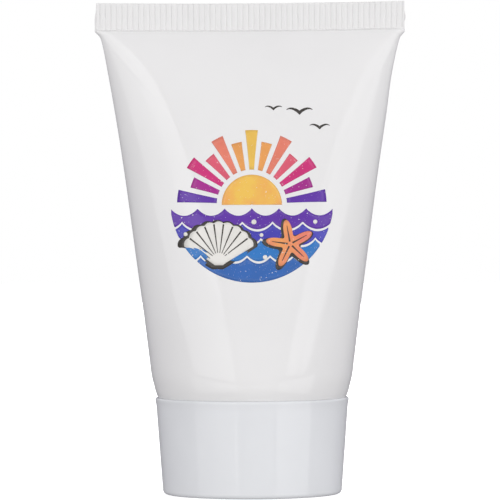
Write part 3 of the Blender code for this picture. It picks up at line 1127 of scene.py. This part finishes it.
def print_lines(pen):
    """The shell's ribs and a line along each arm of the star."""
    form = bmesh.new()
    steps = range(SHELL_LINE_STEPS + 1)
    length = SHELL_RADIUS - SHELL_LINE_SHORT
    widths = [SHELL_LINE_WIDTH + SHELL_LINE_GROWTH * i for i in steps]
    for j in range(1, SHELL_RIBS):
        degrees = SHELL_FROM + SHELL_SPREAD * j / SHELL_RIBS
        rib = [polar(SHELL_LINE_START + length * i / SHELL_LINE_STEPS, degrees) for i in steps]
        pen.stroke(form, shifted(rib, SHELL_PLACE), widths, LINE_LEVEL)
    steps = range(STAR_LINE_STEPS + 1)
    widths = [STAR_LINE_WIDTH - STAR_LINE_THINNING * i for i in steps]
    for arm in range(STAR_ARMS):
        degrees = STAR_TURN + 360 / STAR_ARMS * arm
        line = [polar(STAR_LINE_START + STAR_LINE_LENGTH * i / STAR_LINE_STEPS, degrees) for i in steps]
        pen.stroke(form, shifted(line, STAR_PLACE), widths, LINE_LEVEL)
    pen.done("print_lines", form, CHARCOAL)


def print_shell_and_star(pen):
    middle = (SHELL_PLACE[0], SHELL_PLACE[1] + SHELL_RADIUS * SHELL_MIDDLE)
    print_outlines(pen, middle)

    pale = bmesh.new()
    pen.blob(pale, middle, shell_outline(0), FIGURE_LEVEL, OUTLINE_RINGS)
    for x, z, radius in BUBBLES:
        circle = [polar(radius, 360 * j / BUBBLE_STEPS) for j in range(BUBBLE_STEPS)]
        pen.blob(pale, (x, z), circle, FIGURE_LEVEL, 1)
    pen.done("print_shell", pale, OFF_WHITE)

    star = bmesh.new()
    pen.blob(star, STAR_PLACE, star_outline(0), FIGURE_LEVEL, STAR_RINGS)
    pen.done("print_star", star, CORAL, ORANGE)
    print_lines(pen)


# Stage

def aim(item, target):
    item.rotation_mode = "QUATERNION"
    item.rotation_quaternion = (Vector(target) - item.location).to_track_quat("-Z", "Y")


def add_camera():
    data = bpy.data.cameras.new("camera")
    data.lens = CAMERA_LENS
    data.sensor_width = SENSOR
    data.clip_start, data.clip_end = CAMERA_CLIP
    camera = bpy.data.objects.new("camera", data)
    bpy.context.scene.collection.objects.link(camera)
    camera.location = CAMERA_PLACE
    aim(camera, CAMERA_AIM)
    camera.rotation_quaternion @= Quaternion((0, 0, 1), CAMERA_ROLL)
    bpy.context.scene.camera = camera


def add_softbox(name, azimuth, half_angle, low, high, distance, glow, lights, reflects):
    """An upright panel of light that faces the object."""
    heading = math.radians(azimuth)
    bottom = distance * math.tan(math.radians(low))
    top = distance * math.tan(math.radians(high))
    data = bpy.data.lights.new(name, "AREA")
    data.shape = "RECTANGLE"
    data.size = 2 * distance * math.tan(math.radians(half_angle))
    data.size_y = top - bottom
    data.energy = glow * math.pi * data.size * data.size_y
    item = bpy.data.objects.new(name, data)
    bpy.context.scene.collection.objects.link(item)
    middle = (bottom + top) / 2 + LIGHT_CENTRE
    item.location = (distance * math.sin(heading), -distance * math.cos(heading), middle)
    aim(item, (0, 0, middle))
    item.visible_camera = False
    item.visible_diffuse = lights
    item.visible_glossy = reflects


def ranged(nodes, links, source, low, high):
    """A node that runs from low to high while the source runs from -1 to 1; sockets may be linked in."""
    node = nodes.new("ShaderNodeMapRange")
    node.inputs["From Min"].default_value = -1
    for key, value in (("To Min", low), ("To Max", high)):
        if isinstance(value, float):
            node.inputs[key].default_value = value
        else:
            links.new(value, node.inputs[key])
    links.new(source, node.inputs["Value"])
    return node.outputs["Result"]


def add_world():
    """White behind the object; the surround fades from front to back and from top to bottom."""
    world = bpy.data.worlds.new("studio")
    bpy.context.scene.world = world
    world.use_nodes = True
    nodes, links = world.node_tree.nodes, world.node_tree.links
    surround = nodes["Background"]
    white = nodes.new("ShaderNodeBackground")
    white.inputs["Strength"].default_value = 1.0
    white.inputs["Color"].default_value = (1, 1, 1, 1)
    place = nodes.new("ShaderNodeTexCoord")
    parts = nodes.new("ShaderNodeSeparateXYZ")
    links.new(place.outputs["Generated"], parts.inputs["Vector"])
    front = ranged(nodes, links, parts.outputs["Z"], FRONT_LOW_GLOW, FRONT_HIGH_GLOW)
    back = ranged(nodes, links, parts.outputs["Z"], BACK_LOW_GLOW, BACK_HIGH_GLOW)
    glow = ranged(nodes, links, parts.outputs["Y"], front, back)
    links.new(glow, surround.inputs["Strength"])
    tint = nodes.new("ShaderNodeMix")
    tint.data_type = "RGBA"
    links.new(ranged(nodes, links, parts.outputs["Y"], 0.0, 1.0), tint.inputs["Factor"])
    for socket, color in zip(color_sockets(tint.inputs), (FRONT_COLOR, BACK_COLOR)):
        socket.default_value = (*color, 1)
    links.new(color_sockets(tint.outputs)[0], surround.inputs["Color"])
    path = nodes.new("ShaderNodeLightPath")
    mix = nodes.new("ShaderNodeMixShader")
    links.new(path.outputs["Is Camera Ray"], mix.inputs["Fac"])
    links.new(surround.outputs["Background"], mix.inputs[1])
    links.new(white.outputs["Background"], mix.inputs[2])
    links.new(mix.outputs["Shader"], nodes["World Output"].inputs["Surface"])


def add_floor():
    form = bmesh.new()
    bmesh.ops.create_circle(form, cap_ends=True, segments=FLOOR_POINTS, radius=FLOOR_RADIUS)
    floor = finish_mesh("floor", form, MOULDED_SHARP_ANGLE)
    floor.location.z = -FLOOR_DROP
    look = Look("floor_look", Roughness=0.8, Emission_Strength=0.6)
    look.shader.inputs["Emission Color"].default_value = (1, 1, 1, 1)
    dark, light = ((tone, tone, tone) for tone in FLOOR_TONES)
    cloud = look.noise(scale=3, detail=2)
    tone = look.ramp(cloud, low=0.3, low_color=dark, high=0.7, high_color=light)
    floor.data.materials.append(look.set(Base_Color=tone))
    floor.visible_glossy = False
    floor.visible_diffuse = False
    floor.visible_shadow = False


def paint(node, look):
    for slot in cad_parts[node].material_slots:
        slot.material = look


def main():
    add_camera()
    add_world()
    add_floor()
    for softbox in SOFTBOXES:
        add_softbox(*softbox)

    sleeve, tree = build_sleeve()
    sleeve.data.materials.append(
        moulded("sleeve_look", SLEEVE_COLORS, SLEEVE_GLOSS, SLEEVE_GRAIN, SKIN_DEPTH, SLEEVE_STREAK)
    )
    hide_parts("tube_sleeve")
    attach(sleeve, "tube")

    pen = Ink(tree)
    print_sun(pen)
    print_sea(pen)
    print_shell_and_star(pen)

    cap_look = moulded("cap_look", CAP_COLORS, CAP_GLOSS, CAP_GRAIN, SKIN_DEPTH)
    cap = build_cap()
    cap.data.materials.append(cap_look)
    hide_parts("screw_cap")
    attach(cap, "cap")

    head_look = moulded("head_look", HEAD_COLORS, HEAD_GLOSS, HEAD_GRAIN, HEAD_SKIN_DEPTH)
    neck_thread = build_thread(
        "neck_thread", NECK_RADIUS, NECK_THREAD_HEIGHT, 1, THREAD_START, NECK_THREAD_TURNS
    )
    neck_thread.data.materials.append(head_look)
    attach(neck_thread, "tube")
    socket_thread = build_thread(
        "socket_thread", SOCKET_BORE, SOCKET_THREAD_HEIGHT, -1,
        THREAD_START + THREAD_PITCH / 2, SOCKET_THREAD_TURNS,
    )
    socket_thread.data.materials.append(cap_look)
    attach(socket_thread, "cap")

    paint("tube_head", head_look)
    paint("orifice_seal", foil_look())
    paint("cap_liner", foam_look())
    paint("sunscreen_fill", lotion_look())


main()
bpy.context.scene.view_settings.view_transform = "Standard"
